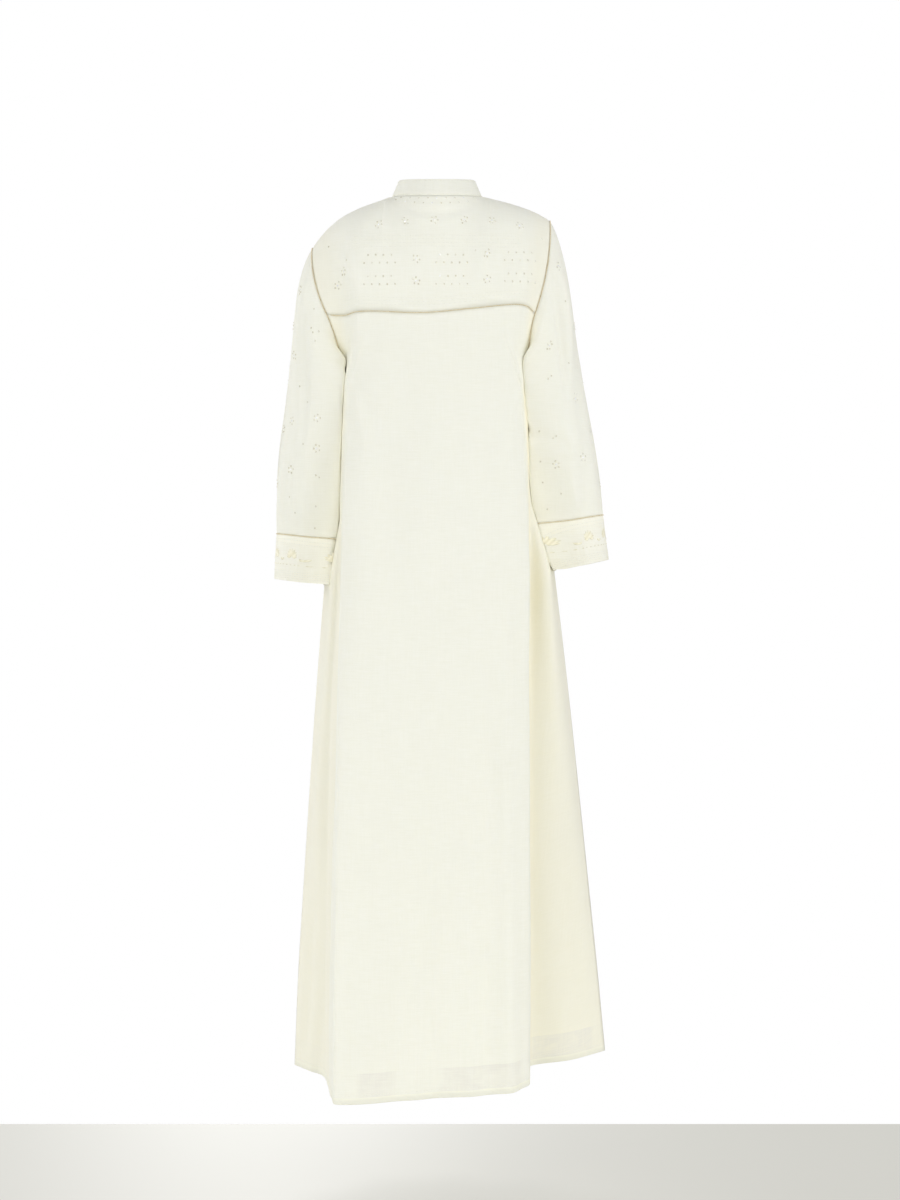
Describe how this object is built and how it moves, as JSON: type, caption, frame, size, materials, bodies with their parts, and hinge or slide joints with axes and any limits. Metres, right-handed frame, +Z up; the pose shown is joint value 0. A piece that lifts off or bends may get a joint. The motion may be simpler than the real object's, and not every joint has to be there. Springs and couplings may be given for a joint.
{
  "type": "jalabiya",
  "caption": "Full-length A-line jalabiya with a stand collar, deep back yoke, long cuffed sleeves and beaded piping, open and empty in its worn shape.",
  "frame": {"origin": "the middle of the neck opening at shoulder height, where the worn garment is carried", "axes": "+Z up along the garment's length, -Y to the front, +X to the wearer's left"},
  "size_m": [0.5511, 0.487, 1.4731],
  "materials": {
    "ivory_cloth": "matt slub plain weave",
    "gold_piping": "beaded cord, slightly glossy"
  },
  "bodies": {
    "root": {"collar": "ivory_cloth", "back_yoke": "ivory_cloth", "back_panel": "ivory_cloth", "front_panel": "ivory_cloth", "sleeve_right": "ivory_cloth", "sleeve_left": "ivory_cloth", "cuff_right": "ivory_cloth", "cuff_left": "ivory_cloth", "front_placket": "ivory_cloth", "yoke_piping": "gold_piping", "armhole_piping_right": "gold_piping", "armhole_piping_left": "gold_piping", "cuff_piping_right": "gold_piping", "cuff_piping_left": "gold_piping"}
  },
  "joints": []
}
